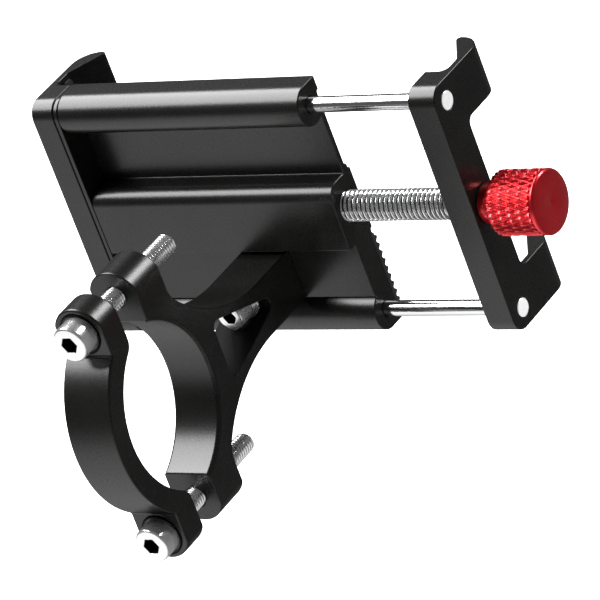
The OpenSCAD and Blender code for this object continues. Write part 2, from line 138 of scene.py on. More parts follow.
def revolve(name, profile, axis, cu, cv, n=64):
    """A profile of (t, r) turned round a line along an axis; r of 0 closes an end."""
    bm = bmesh.new()
    rings = []
    for t, r in profile:
        if r < 1e-6:
            rings.append([bm.verts.new(place(axis, t, cu, cv))])
        else:
            rings.append(
                [
                    bm.verts.new(
                        place(axis, t, cu + r * cos(2 * pi * k / n), cv + r * sin(2 * pi * k / n))
                    )
                    for k in range(n)
                ]
            )
    close_rings(bm, rings, n)
    return to_object(name, bm)


def close_rings(bm, rings, n):
    for a, b in zip(rings, rings[1:]):
        for k in range(n):
            m = (k + 1) % n
            if len(a) == 1 and len(b) == 1:
                continue
            if len(a) == 1:
                bm.faces.new((a[0], b[m], b[k]))
            elif len(b) == 1:
                bm.faces.new((a[k], a[m], b[0]))
            else:
                bm.faces.new((a[k], a[m], b[m], b[k]))


def carve(obj, cutters, operation="DIFFERENCE"):
    """Applies booleans with each cutter and removes the cutters."""
    for cutter in cutters:
        modifier = obj.modifiers.new("cut", "BOOLEAN")
        modifier.operation = operation
        modifier.solver = "EXACT"
        modifier.object = cutter
    graph = bpy.context.evaluated_depsgraph_get()
    mesh = bpy.data.meshes.new_from_object(obj.evaluated_get(graph))
    obj.modifiers.clear()
    old = obj.data
    obj.data = mesh
    bpy.data.meshes.remove(old)
    for cutter in cutters:
        data = cutter.data
        bpy.data.objects.remove(cutter)
        bpy.data.meshes.remove(data)
    clean(obj)
    return obj


def clean(obj):
    """Merges coplanar faces that a boolean leaves."""
    bm = bmesh.new()
    bm.from_mesh(obj.data)
    bmesh.ops.remove_doubles(bm, verts=bm.verts, dist=1e-7)
    bmesh.ops.dissolve_degenerate(bm, edges=bm.edges, dist=1e-7)
    bmesh.ops.dissolve_limit(bm, angle_limit=radians(0.4), verts=bm.verts, edges=bm.edges)
    for face in bm.faces:
        face.smooth = True
    bm.to_mesh(obj.data)
    bm.free()


def soften(obj, width, segments=3, angle=30):
    """Rounds the sharp edges by a width in mm."""
    bevel = obj.modifiers.new("edges", "BEVEL")
    bevel.width = width * MM
    bevel.segments = segments
    bevel.limit_method = "ANGLE"
    bevel.angle_limit = radians(angle)
    bevel.miter_outer = "MITER_ARC"
    bevel.harden_normals = True
    bevel.use_clamp_overlap = False
    return obj


def join(name, objects):
    """One object from several."""
    bm = bmesh.new()
    graph = bpy.context.evaluated_depsgraph_get()
    for o in objects:
        mesh = bpy.data.meshes.new_from_object(o.evaluated_get(graph))
        bm.from_mesh(mesh)
        bpy.data.meshes.remove(mesh)
        data = o.data
        bpy.data.objects.remove(o)
        bpy.data.meshes.remove(data)
    mesh = bpy.data.meshes.new(name)
    bm.to_mesh(mesh)
    bm.free()
    obj = bpy.data.objects.new(name, mesh)
    bpy.context.collection.objects.link(obj)
    return obj


# ---------------------------------------------------------------- materials
def shader(name):
    material = bpy.data.materials.new(name)
    material.use_nodes = True
    tree = material.node_tree
    return material, tree, tree.nodes["Principled BSDF"]


def coordinates(tree, scale):
    """Object coordinates in millimetres times a scale."""
    source = tree.nodes.new("ShaderNodeTexCoord")
    mapping = tree.nodes.new("ShaderNodeMapping")
    mapping.inputs["Scale"].default_value = [s / MM for s in scale]
    tree.links.new(source.outputs["Object"], mapping.inputs["Vector"])
    return mapping.outputs["Vector"]


def noise(tree, vector, scale, detail=4.0, roughness=0.55):
    node = tree.nodes.new("ShaderNodeTexNoise")
    node.inputs["Scale"].default_value = scale
    node.inputs["Detail"].default_value = detail
    node.inputs["Roughness"].default_value = roughness
    tree.links.new(vector, node.inputs["Vector"])
    return node.outputs["Fac"]


def spread(tree, value, low, high, from_low=0.3, from_high=0.7):
    node = tree.nodes.new("ShaderNodeMapRange")
    node.inputs["From Min"].default_value = from_low
    node.inputs["From Max"].default_value = from_high
    node.inputs["To Min"].default_value = low
    node.inputs["To Max"].default_value = high
    tree.links.new(value, node.inputs["Value"])
    return node.outputs["Result"]


def tint(tree, value, dark, light):
    node = tree.nodes.new("ShaderNodeMix")
    node.data_type = "RGBA"
    node.inputs["A"].default_value = (*dark, 1)
    node.inputs["B"].default_value = (*light, 1)
    tree.links.new(value, node.inputs["Factor"])
    return node.outputs["Result"]


def bump(tree, shader_node, height, strength, distance):
    node = tree.nodes.new("ShaderNodeBump")
    node.inputs["Strength"].default_value = strength
    node.inputs["Distance"].default_value = distance * MM
    tree.links.new(height, node.inputs["Height"])
    tree.links.new(node.outputs["Normal"], shader_node.inputs["Normal"])


def anodised(name, dark, light, rough_low, rough_high, grain, metal=1.0):
    """Bead-blasted, anodised aluminium."""
    material, tree, bsdf = shader(name)
    vector = coordinates(tree, (1, 1, 1))
    cloud = noise(tree, vector, 0.09, 5.0)
    fine = noise(tree, vector, 6.0, 3.0, 0.7)
    tree.links.new(tint(tree, spread(tree, cloud, 0, 1), dark, light), bsdf.inputs["Base Color"])
    tree.links.new(spread(tree, fine, rough_low, rough_high), bsdf.inputs["Roughness"])
    bump(tree, bsdf, fine, grain, 0.02)
    bsdf.inputs["Metallic"].default_value = metal
    return material


def polished(name, colour, rough_low, rough_high, scale, scratches):
    """Turned or drawn bright steel with marks along a direction."""
    material, tree, bsdf = shader(name)
    vector = coordinates(tree, scale)
    marks = noise(tree, vector, 1.0, 6.0, 0.65)
    dark = [c * 0.82 for c in colour]
    tree.links.new(tint(tree, spread(tree, marks, 0, 1), dark, colour), bsdf.inputs["Base Color"])
    tree.links.new(spread(tree, marks, rough_low, rough_high), bsdf.inputs["Roughness"])
    bump(tree, bsdf, marks, scratches, 0.01)
    bsdf.inputs["Metallic"].default_value = 1.0
    return material


def rubber(name):
    """Matte black silicone."""
    material, tree, bsdf = shader(name)
    vector = coordinates(tree, (1, 1, 1))
    cloud = noise(tree, vector, 0.35, 6.0, 0.6)
    pores = noise(tree, vector, 9.0, 3.0, 0.7)
    colour = tint(tree, spread(tree, cloud, 0, 1), (0.009, 0.009, 0.0095), (0.017, 0.017, 0.018))
    tree.links.new(colour, bsdf.inputs["Base Color"])
    tree.links.new(spread(tree, pores, 0.62, 0.82), bsdf.inputs["Roughness"])
    bump(tree, bsdf, pores, 0.25, 0.03)
    bsdf.inputs["Specular IOR Level"].default_value = 0.35
    return material


def constants(material, **values):
    """Sets sockets of the material's shader to constants; _ in a name stands for a space."""
    sockets = material.node_tree.nodes["Principled BSDF"].inputs
    for name, value in values.items():
        sockets[name.replace("_", " ")].default_value = value
    return material


black = anodised(
    "black_anodised", (0.0040, 0.0038, 0.0035), (0.0070, 0.0067, 0.0062), 0.25, 0.32, 0.06, 0.0
)
constants(black, Specular_IOR_Level=0.42)
# Painted shade: a duller, barely reflective copy of the black for the window's inner walls and the
# screw seat, standing in for the shade inside that hollow.
painted_shade_black = anodised(
    "painted_shade_black", (0.004, 0.004, 0.004), (0.007, 0.007, 0.007), 0.60, 0.75, 0.2, 0.0
)
constants(painted_shade_black, Specular_IOR_Level=0.12)
red = anodised("red_anodised", (0.66, 0.012, 0.020), (0.80, 0.020, 0.030), 0.26, 0.34, 0.10)
constants(red, Metallic=0.84, Coat_Weight=0.6, Coat_Roughness=0.12)
rod_steel = polished("rod_steel", (0.80, 0.80, 0.81), 0.10, 0.18, (0.05, 8, 8), 0.05)
thread_steel = polished("thread_steel", (0.88, 0.88, 0.89), 0.12, 0.22, (3, 3, 3), 0.05)
bolt_steel = polished("bolt_steel", (0.84, 0.84, 0.85), 0.14, 0.26, (3, 3, 3), 0.06)
black_oxide = anodised("black_oxide", (0.02, 0.02, 0.021), (0.04, 0.04, 0.042), 0.32, 0.42, 0.1)
shadowed = anodised("shadowed_steel", (0.03, 0.03, 0.032), (0.06, 0.06, 0.062), 0.35, 0.5, 0.1)
# Painted highlight: a whiter, mostly non-metal copy of the rod steel that makes the rods' end faces
# show bright.
rod_end_painted_highlight = polished("rod_end_painted_highlight", (0.93, 0.93, 0.93), 0.30, 0.42, (3, 3, 3), 0.05)
constants(rod_end_painted_highlight, Metallic=0.25)
constants(thread_steel, Metallic=0.85)
constants(bolt_steel, Metallic=0.85)
silicone = rubber("silicone")
nylon = rubber("nylon")


def second_material(obj, material, chosen):
    """Gives the faces whose middle, in mm, is chosen a material of their own."""
    while len(obj.data.materials) < 2:
        obj.data.materials.append(material)
    for face in obj.data.polygons:
        face.material_index = int(chosen(face.center / MM))


def finish_piece(obj, material, body, nodes):
    if obj.data.materials:
        obj.data.materials[0] = material
    else:
        obj.data.materials.append(material)
    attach(obj, body)
    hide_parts(*nodes)
    return obj


# ---------------------------------------------------------------- clamp and arm
SPLIT_ARM = 6.6
ARM_LUG_Y = 14.4
LUG_R = 5.6
LUG_END_Z = LUG_TOP - LUG_R
BOLT_Z = middle("clamp_bolt_upper").z
STEM_TOP, STEM_LOW = 4.6, -5.9
BLEND_R = 28.0
UPPER_BLEND_Y, LOWER_BLEND_Y = 37.4, 36.5
HOLLOW_R = 5.0
CHAMFER = 0.5


def lug_ends(name, low, high):
    """The clamp's outline seen along the bolts, pushed along Y."""
    edge = degrees(atan2(sqrt(LUG_R**2 - HALF_W**2), HALF_W))
    outline = arc(0, LUG_END_Z, LUG_R, edge, 180 - edge, 40)
    outline += arc(0, -LUG_END_Z, LUG_R, 180 + edge, 360 - edge, 40)
    return prism(name, outline, "Y", low, high)


def bar_cones():
    """Two shallow cones that chamfer the arm's inner wall at its edges."""
    cones = []
    for side in (-1, 1):
        x0, x1 = side * (HALF_W - CHAMFER), side * (HALF_W + 1)
        r1 = BORE_R + CHAMFER + 1
        cones.append(
            revolve("cone", [(x0, 0), (x0, BORE_R), (x1, r1), (x1, 0)], "X", 0, 0, 160)
        )
    return cones


def flank(blend_y, level):
    """Points from a lug's back through both hollows to the stem, on the side of positive z."""
    large = (blend_y, level + BLEND_R)
    apart = BLEND_R - HOLLOW_R
    small_y = ARM_LUG_Y + HOLLOW_R
    small_z = large[1] - sqrt(apart**2 - (blend_y - small_y) ** 2)
    turn = degrees(atan2(small_z - large[1], small_y - blend_y)) % 360
    points = arc(small_y, small_z, HOLLOW_R, 180, turn, 10)
    return points + arc(large[0], large[1], BLEND_R, turn, 270, 28)


def arm_outline():
    top = LUG_TOP + 2
    inner = degrees(atan2(sqrt(BORE_R**2 - SPLIT_ARM**2), SPLIT_ARM))
    upper = flank(UPPER_BLEND_Y, STEM_TOP)
    lower = [(y, -z) for y, z in flank(LOWER_BLEND_Y, -STEM_LOW)]
    outline = [(SPLIT_ARM, top), (ARM_LUG_Y, top)]
    outline += upper + [(FOOT_Y, STEM_TOP), (FOOT_Y, STEM_LOW)]
    outline += list(reversed(lower)) + [(ARM_LUG_Y, -top), (SPLIT_ARM, -top)]
    return outline + arc(0, 0, BORE_R, -inner, inner, 120)


WINDOW_CORNERS = [(23.6, 4.1), (23.5, -4.6), (37.6, -0.5)]
WINDOW_R = 1.4
THREAD_HOLE_R = 2.02
SEAT_R = 3.5
SEAT_START_Y = 26.5
RING_WALL_Y = 21.9
STEM_HALF = 7.0
STEM_SLOPE = 0.27


def window(name):
    """A three-sided hole through the arm along X, with rounded corners."""
    outline = []
    for i, (y, z) in enumerate(WINDOW_CORNERS):
        py, pz = WINDOW_CORNERS[i - 1]
        ny, nz = WINDOW_CORNERS[(i + 1) % 3]
        a_in = degrees(atan2(-(y - py), z - pz)) % 360
        a_out = degrees(atan2(-(ny - y), nz - z)) % 360
        if a_out < a_in:
            a_out += 360
        outline += arc(y, z, WINDOW_R, a_in, a_out, 10)
    return prism(name, outline, "X", -HALF_W - 3, HALF_W + 3)


ARM_SCREW_Z = middle("arm_screw").z
SEAT_Y = node_box("arm_plain_washer")[1].y

arm = prism("arm", arm_outline(), "X", -HALF_W, HALF_W)
carve(arm, [lug_ends("ends", 0, 60)], "INTERSECT")
cuts = bar_cones()
cuts.append(window("window"))
for z in (BOLT_Z, -BOLT_Z):
    hole = [(0, 0), (0, THREAD_HOLE_R), (20, THREAD_HOLE_R), (20, 0)]
    cuts.append(revolve("hole", hole, "Y", 0, z, 64))
screw_seat = [(SEAT_START_Y, 0), (SEAT_START_Y, SEAT_R), (SEAT_Y, SEAT_R), (SEAT_Y, 0)]
cuts.append(revolve("seat", screw_seat, "Y", 0, ARM_SCREW_Z, 72))
carve(arm, cuts)
soften(arm, 0.28)


def in_window(p):
    """True on the walls of the window and of the screw's seat."""
    reach = p.y - RING_WALL_Y
    return abs(p.x) < HALF_W - 0.3 and reach > 0 and abs(p.z) < STEM_HALF - STEM_SLOPE * reach


# Painted shade on the window's walls and the screw seat.
second_material(arm, painted_shade_black, in_window)
finish_piece(arm, black, "holder", ["arm"])

SPLIT_CAP = cap_hi.y
CAP_Y = cap_lo.y + RING_R
CAP_LUG_Y = SPLIT_CAP - 5.6
CAP_CORNER_R = 3.0
CLEAR_HOLE_R = 2.2
HEAD_SEAT_R = 4.0
HEAD_SEAT_Y = CAP_LUG_Y + 0.3


def cap_outline():
    top = LUG_TOP + 2
    y = SPLIT_CAP - CAP_CORNER_R
    z = sqrt((BORE_R + CAP_CORNER_R) ** 2 - (CAP_Y - y) ** 2)
    turn = degrees(atan2(z, CAP_Y - y))
    outer = degrees(atan2(sqrt(RING_R**2 - (CAP_LUG_Y - CAP_Y) ** 2), CAP_LUG_Y - CAP_Y))
    outline = [(SPLIT_CAP, top), (CAP_LUG_Y, top)]
    outline += arc(CAP_Y, 0, RING_R, outer, 360 - outer, 120)
    outline += [(CAP_LUG_Y, -top), (SPLIT_CAP, -top)]
    outline += arc(y, -z, CAP_CORNER_R, 0, turn, 12)
    outline += arc(CAP_Y, 0, BORE_R, 180 + turn, 180 - turn, 120)
    return outline + arc(y, z, CAP_CORNER_R, -turn, 0, 12)


cap = prism("clamp_cap", cap_outline(), "X", -HALF_W, HALF_W)
carve(cap, [lug_ends("ends", -40, 30)], "INTERSECT")
cuts = []
for z in (BOLT_Z, -BOLT_Z):
    hole = [(-20, 0), (-20, CLEAR_HOLE_R), (9, CLEAR_HOLE_R), (9, 0)]
    cuts.append(revolve("hole", hole, "Y", 0, z, 64))
    seat = [(-20, 0), (-20, HEAD_SEAT_R), (HEAD_SEAT_Y, HEAD_SEAT_R), (HEAD_SEAT_Y, 0)]
    cuts.append(revolve("seat", seat, "Y", 0, z, 72))
carve(cap, cuts)
soften(cap, 0.4)
finish_piece(cap, black, "cap", ["clamp_cap"])


# ---------------------------------------------------------------- threads and screws
def thread_depth(turn):
    """How deep the groove is at a fraction of a turn, from 0 at the crest to 1 at the root."""
    ridge = abs(2 * (turn % 1.0) - 1)
    return 1 - min(1.0, max(0.0, (ridge - 0.14) / 0.72))


def threaded_rod(name, axis, cu, cv, t0, t1, r, pitch, depth, n=40, per_turn=9, tip=0.0, foot=0.0):
    """A right-hand thread from t0 to t1 with closed ends; tip and foot are end chamfers."""
    bm = bmesh.new()
    steps = max(2, int((t1 - t0) / pitch * per_turn))
    rings = [[bm.verts.new(place(axis, t0, cu, cv))]]
    hand = -1 if axis == "Y" else 1
    for i in range(steps + 1):
        t = t0 + (t1 - t0) * i / steps
        limit = r
        if tip:
            limit = min(limit, r - tip + max(0.0, t1 - t))
        if foot:
            limit = min(limit, r - foot + max(0.0, t - t0))
        ring = []
        for k in range(n):
            around = 2 * pi * k / n
            radius = r - depth * thread_depth(t / pitch - hand * k / n)
            radius = min(radius, limit)
            point = place(axis, t, cu + radius * cos(around), cv + radius * sin(around))
            ring.append(bm.verts.new(point))
        rings.append(ring)
    rings.append([bm.verts.new(place(axis, t1, cu, cv))])
    close_rings(bm, rings, n)
    obj = to_object(name, bm)
    obj.data.set_sharp_from_angle(angle=radians(60))
    return obj


def hexagon(cu, cv, corner):
    """Six points round a centre, corner away from it."""
    turns = [radians(60 * i) for i in range(6)]
    return [(cu + corner * cos(t), cv + corner * sin(t)) for t in turns]


def socket_head(name, y0, y1, cx, cz, r, across_flats, depth, n=72):
    """A cylinder head with a rounded rim and a hexagon socket, open towards -Y."""
    rim = 0.45
    profile = [(y1, 0), (y1, r - 0.12), (y1 - 0.12, r)]
    profile += [
        (y0 + rim - rim * sin(a), r - rim + rim * cos(a)) for a in [radians(i * 15) for i in range(7)]
    ]
    profile += [(y0, across_flats / 2 + 0.75), (y0, 0)]
    head = revolve(name, profile, "Y", cx, cz, n)
    cut = prism("hex", hexagon(cx, cz, across_flats / sqrt(3)), "Y", y0 - 1, y0 + depth)
    carve(head, [cut])
    soften(head, 0.06, 2, 25)
    return head


def bolt(name, body, pitch, thread_r, flats):
    low, high = node_box(name)
    cx, cz = (low.x + high.x) / 2, (low.z + high.z) / 2
    under = low.y + 4.0
    head = socket_head("head", low.y, under, cx, cz, (high.x - low.x) / 2, flats, 2.2)
    shank = threaded_rod(
        "shank", "Y", cx, cz, under - 0.3, high.y, thread_r, pitch, 0.57 * pitch, 40, 8, 0.6
    )
    piece = join(name, [head, shank])

    def dark(p):
        out = hypot(p.x - cx, p.z - cz)
        in_socket = low.y + 0.1 < p.y < under - 0.5 and out < 0.6 * flats
        in_groove = under < p.y < high.y - 0.7 and out < thread_r - 0.5 * pitch
        return in_socket or in_groove

    second_material(piece, shadowed, dark)
    return finish_piece(piece, bolt_steel, body, [name])


bolt("clamp_bolt_upper", "bolt_upper", 0.7, 1.97, 3.0)
bolt("clamp_bolt_lower", "bolt_lower", 0.7, 1.97, 3.0)
bolt("arm_screw", "holder", 0.5, 1.47, 2.5)


def ring_piece(node, inner_r, axis, edge, material, body):
    """A flat washer with softened edges."""
    low, high = node_box(node)
    k = {"X": 0, "Y": 1}[axis]
    t0, t1 = low[k], high[k]
    mid = (low + high) / 2
    cu, cv = (mid.y, mid.z) if axis == "X" else (mid.x, mid.z)
    r = (high.z - low.z) / 2
    profile = [(t0, inner_r), (t0, r - edge), (t0 + edge, r)]
    profile += [(t1 - edge, r), (t1, r - edge), (t1, inner_r), (t0, inner_r)]
    obj = revolve(node, profile, axis, cu, cv, 64)
    obj.data.set_sharp_from_angle(angle=radians(35))
    return finish_piece(obj, material, body, [node])


ring_piece("arm_plain_washer", 1.6, "Y", 0.1, bolt_steel, "holder")
lock = ring_piece("arm_lock_washer", 1.6, "Y", 0.12, bolt_steel, "holder")
LOCK_Y = node_box("arm_lock_washer")[0].y
split = prism("split", [(1.3, -0.25), (4.5, 0.55), (4.5, 0.05), (1.3, -0.75)], "Z", 0, 1)
for v in split.data.vertices:
    x, y, _ = v.co / MM
    v.co = Vector((x, LOCK_Y - 1 + (v.co.z / MM) * 4, ARM_SCREW_Z + y)) * MM
carve(lock, [split])


# ---------------------------------------------------------------- back plate and pads
TUBE_R = plate_hi.z - rod_hi_mid.z
TUBE_Y = rod_hi_mid.y
FRONT_Y = 54.4
RAISED_Y = plate_hi.y
WEB_Y = 52.6
RIB_Y = plate_lo.y
RIB_LOW, RIB_TOP = 5.4, 18.3
RIB_R = 2.9
LOWER_REAR_Y = FOOT_Y
PAD_BASE_Y = 53.8
pad_low_lo, pad_low_hi = node_box("pad_lower")
pad_up_lo, pad_up_hi = node_box("pad_upper")


def plate_outline():
    up, low = rod_hi_mid.z, rod_lo_mid.z
    up_end = 360 - degrees(atan2(sqrt(TUBE_R**2 - (WEB_Y - TUBE_Y) ** 2), WEB_Y - TUBE_Y))
    rise = LOWER_REAR_Y - TUBE_Y
    low_start = degrees(atan2(sqrt(TUBE_R**2 - rise**2), rise))
    groove = low + TUBE_R * sin(radians(low_start))
    outline = [(FRONT_Y, up + TUBE_R)]
    outline += arc(TUBE_Y, up, TUBE_R, 90, up_end, 56)
    outline += [(WEB_Y, RIB_TOP)]
    outline += arc(RIB_Y + RIB_R, RIB_TOP - RIB_R, RIB_R, 90, 180, 20)
    outline += [(RIB_Y, RIB_LOW), (LOWER_REAR_Y, RIB_LOW)]
    outline += [(LOWER_REAR_Y, groove + 0.25), (LOWER_REAR_Y + 0.45, groove + 0.1)]
    outline += arc(TUBE_Y, low, TUBE_R, low_start - 4, low_start, 1)[:1]
    outline += arc(TUBE_Y, low, TUBE_R, low_start + 3, 270, 50)
    outline += [(FRONT_Y, low - TUBE_R)]
    for box_low, box_high in ((pad_low_lo, pad_low_hi), (pad_up_lo, pad_up_hi)):
        if box_low is pad_up_lo:
            outline += [(FRONT_Y, RIB_LOW), (RAISED_Y, RIB_LOW)]
            outline += [(RAISED_Y, RIB_TOP), (FRONT_Y, RIB_TOP)]
        outline += [(FRONT_Y, box_low.z), (PAD_BASE_Y, box_low.z)]
        outline += [(PAD_BASE_Y, box_high.z), (FRONT_Y, box_high.z)]
    return outline


plate = prism("back_plate", plate_outline(), "X", plate_lo.x, plate_hi.x)
BORE_DEPTH = 48.5
ROD_BORE_R, SCREW_BORE_R = 1.56, 3.02
cuts = []
for mid, r in ((rod_hi_mid, ROD_BORE_R), (rod_lo_mid, ROD_BORE_R), (screw_mid, SCREW_BORE_R)):
    x0, x1 = plate_hi.x - BORE_DEPTH, plate_hi.x + 1
    cuts.append(revolve("bore", [(x0, 0), (x0, r), (x1, r), (x1, 0)], "X", mid.y, mid.z, 72))
carve(plate, cuts)
soften(plate, 0.2)
finish_piece(plate, black, "holder", ["back_plate"])


RIBS = 9
RIB_PITCH = 1.65
RIB_HEIGHT = 0.6
RIB_TIP_R = 0.28


def ribbed_pad(name):
    """A pad with rounded ribs along X."""
    low, high = node_box(name)
    floor_y = high.y - RIB_HEIGHT
    outline = [(PAD_BASE_Y, low.z + 0.02), (floor_y, low.z + 0.02)]
    for i in range(RIBS):
        z = low.z + (i + 0.7) * RIB_PITCH
        outline += [(floor_y, z - 0.62), (floor_y + 0.2, z - 0.5)]
        outline += arc(high.y - RIB_TIP_R, z, RIB_TIP_R, -70, 70, 6)
        outline += [(floor_y + 0.2, z + 0.5), (floor_y, z + 0.62)]
    outline += [(floor_y, high.z - 0.02), (PAD_BASE_Y, high.z - 0.02)]
    pad = prism(name, outline, "X", low.x, high.x)
    pad.data.set_sharp_from_angle(angle=radians(50))
    soften(pad, 0.08, 2, 50)
    return finish_piece(pad, silicone, "holder", [name])


ribbed_pad("pad_upper")
ribbed_pad("pad_lower")

# ---------------------------------------------------------------- jaws
BAR_Y = 54.5
EAR_H = 9.9
EAR_T = 1.4
HOOK_R = 4.7
CORNER_R = 3.3
EAR_R = 1.2
ROOT_R = 1.6
RAMP_Y = 58.8
TIP_R = 0.8
INSIDE_R = 1.5
HOOK_SLANT = degrees(atan2(-4.0, -6.1))


def bar_outline(low, high):
    """The bar's outline in Y and Z, with rounded rear corners."""
    y0 = low.y
    z0, z1 = low.z, high.z
    outline = arc(y0 + CORNER_R, z0 + CORNER_R, CORNER_R, 180, 270, 16)
    outline += [(BAR_Y, z0), (BAR_Y, z1)]
    return outline + arc(y0 + CORNER_R, z1 - CORNER_R, CORNER_R, 90, 180, 16)


def jaw_outline(low, high):
    """Bar and both ears in Y and Z."""
    y0, y1, z0, z1 = low.y, high.y, low.z, high.z
    inner0, inner1 = z0 + EAR_H, z1 - EAR_H
    outline = arc(y0 + CORNER_R, z0 + CORNER_R, CORNER_R, 180, 270, 16)
    outline += [(y1, z0)]
    outline += arc(y1 - EAR_R, inner0 - EAR_R, EAR_R, 0, 90, 10)
    outline += arc(BAR_Y + ROOT_R, inner0 + ROOT_R, ROOT_R, 270, 180, 10)
    outline += arc(BAR_Y + ROOT_R, inner1 - ROOT_R, ROOT_R, 180, 90, 10)
    outline += arc(y1 - EAR_R, inner1 + EAR_R, EAR_R, 270, 360, 10)
    outline += [(y1, z1)]
    return outline + arc(y0 + CORNER_R, z1 - CORNER_R, CORNER_R, 90, 180, 16)


def jaw_section(inner_x, out, thick, low, high):
    """Bar, ear and hook in X and Y; out is the direction away from the phone."""
    y1 = high.y
    points = [(0, low.y), (thick, low.y)]
    points += arc(thick - HOOK_R, y1 - HOOK_R, HOOK_R, 0, 90, 24)
    points += arc(thick - HOOK_R, y1 - TIP_R, TIP_R, 90, 360 + HOOK_SLANT, 12)
    points += [(thick - EAR_T, RAMP_Y)]
    points += arc(thick - EAR_T - INSIDE_R, BAR_Y + INSIDE_R, INSIDE_R, 0, -90, 10) + [(0, BAR_Y)]
    return [(inner_x + out * x, y) for x, y in points]


def jaw(name, inner_x, out, thick, low, high):
    blank = prism(name, jaw_section(inner_x, out, thick, low, high), "Z", low.z - 2, high.z + 2)
    outline = prism("outline", jaw_outline(low, high), "X", low.x - 5, high.x + 5)
    return carve(blank, [outline], "INTERSECT")


FIXED_T = 4.9
fixed_inner = node_box("end_spacer")[0].x
fixed = jaw("fixed_jaw", fixed_inner, -1, FIXED_T, fixed_lo, fixed_hi)
cuts = []
screw_lo, screw_hi = node_box("fixed_jaw_screws")
screw_zs = (screw_hi.z - 2.75, screw_mid.z, screw_lo.z + 2.75)
for z in screw_zs:
    x0 = fixed_lo.x
    profile = [(x0 - 1, 0), (x0 - 1, 2.95), (x0, 2.88), (x0 + 1.45, 1.5)]
    profile += [(x0 + 6, 1.5), (x0 + 6, 0)]
    cuts.append(revolve("sink", profile, "X", TUBE_Y, z, 64))
carve(fixed, cuts)
soften(fixed, 0.22)
finish_piece(fixed, black, "holder", ["fixed_jaw"])

ROD_HOLE_R = 1.53
ROD_HEAD_R, ROD_HEAD_L = 1.75, 1.6
JOURNAL_HOLE_R = 2.56
moving = jaw("moving_jaw", moving_lo.x, 1, moving_hi.x - moving_lo.x, moving_lo, moving_hi)
cuts = []
for mid in (rod_hi_mid, rod_lo_mid):
    x0, x1 = moving_lo.x, moving_hi.x
    profile = [(x0 - 1, 0), (x0 - 1, ROD_HOLE_R), (x1 - ROD_HEAD_L, ROD_HOLE_R)]
    profile += [(x1 - ROD_HEAD_L, ROD_HEAD_R + 0.04), (x1 + 1, ROD_HEAD_R + 0.04), (x1 + 1, 0)]
    cuts.append(revolve("rod_hole", profile, "X", mid.y, mid.z, 64))
x0, x1 = moving_lo.x - 1, moving_hi.x + 1
profile = [(x0, 0), (x0, JOURNAL_HOLE_R), (x1, JOURNAL_HOLE_R), (x1, 0)]
cuts.append(revolve("journal_hole", profile, "X", screw_mid.y, screw_mid.z, 64))
carve(moving, cuts)
soften(moving, 0.22)
finish_piece(moving, black, "jaw", ["moving_jaw"])

spacer_lo, spacer_hi = node_box("end_spacer")
JOINT_LINE = 0.06
spacer = prism(
    "end_spacer",
    bar_outline(spacer_lo, spacer_hi),
    "X",
    spacer_lo.x + JOINT_LINE,
    spacer_hi.x - JOINT_LINE,
)
soften(spacer, 0.15)
finish_piece(spacer, black, "holder", ["end_spacer"])


def jaw_screws():
    """Three countersunk screws with hexagon sockets."""
    made = []
    x0 = screw_lo.x
    for z in screw_zs:
        profile = [(x0, 0), (x0, 2.65), (x0 + 0.12, 2.75), (x0 + 1.4, 1.45)]
        profile += [(screw_hi.x, 1.45), (screw_hi.x, 0)]
        screw = revolve("screw", profile, "X", TUBE_Y, z, 64)
        socket = hexagon(TUBE_Y, z, 1 / cos(radians(30)))
        carve(screw, [prism("hex", socket, "X", x0 - 1, x0 + 1.1)])
        soften(screw, 0.05, 2, 25)
        made.append(screw)
    return join("fixed_jaw_screws", made)


finish_piece(jaw_screws(), black_oxide, "holder", ["fixed_jaw_screws"])


def liners(name, body):
    """Two soft rounded strips inside a jaw's ears."""
    low, high = node_box(name)
    made = []
    ear = EAR_H - 1.8
    for z0 in (low.z, high.z - ear):
        outline = []
        r = 0.8
        for cy, cz, a in (
            (high.y - r, z0 + ear - r, 0),
            (low.y + r, z0 + ear - r, 90),
            (low.y + r, z0 + r, 180),
            (high.y - r, z0 + r, 270),
        ):
            outline += arc(cy, cz, r, a, a + 90, 6)
        made.append(prism("liner", outline, "X", low.x, high.x))
    piece = join(name, made)
    soften(piece, 0.15, 3, 40)
    return finish_piece(piece, silicone, body, [name])


liners("fixed_jaw_liners", "holder")
liners("moving_jaw_liners", "jaw")


# ---------------------------------------------------------------- rods, lead screw, washer, knob
ROD_R = 1.5


def guide_rod(name):
    low, high = node_box(name)
    mid = (low + high) / 2
    x0, x1 = low.x, high.x
    profile = [(x0, 0), (x0, ROD_R - 0.2), (x0 + 0.2, ROD_R), (x1 - ROD_HEAD_L, ROD_R)]
    profile += [(x1 - ROD_HEAD_L, ROD_HEAD_R), (x1 - 0.12, ROD_HEAD_R)]
    profile += [(x1, ROD_HEAD_R - 0.12), (x1, 0)]
    rod = revolve(name, profile, "X", mid.y, mid.z, 64)
    rod.data.set_sharp_from_angle(angle=radians(30))
    # Painted highlight on the rods' end faces.
    second_material(rod, rod_end_painted_highlight, lambda p: p.x > high.x - 0.13)
    return finish_piece(rod, rod_steel, "jaw", [name])


guide_rod("guide_rod_upper")
guide_rod("guide_rod_lower")

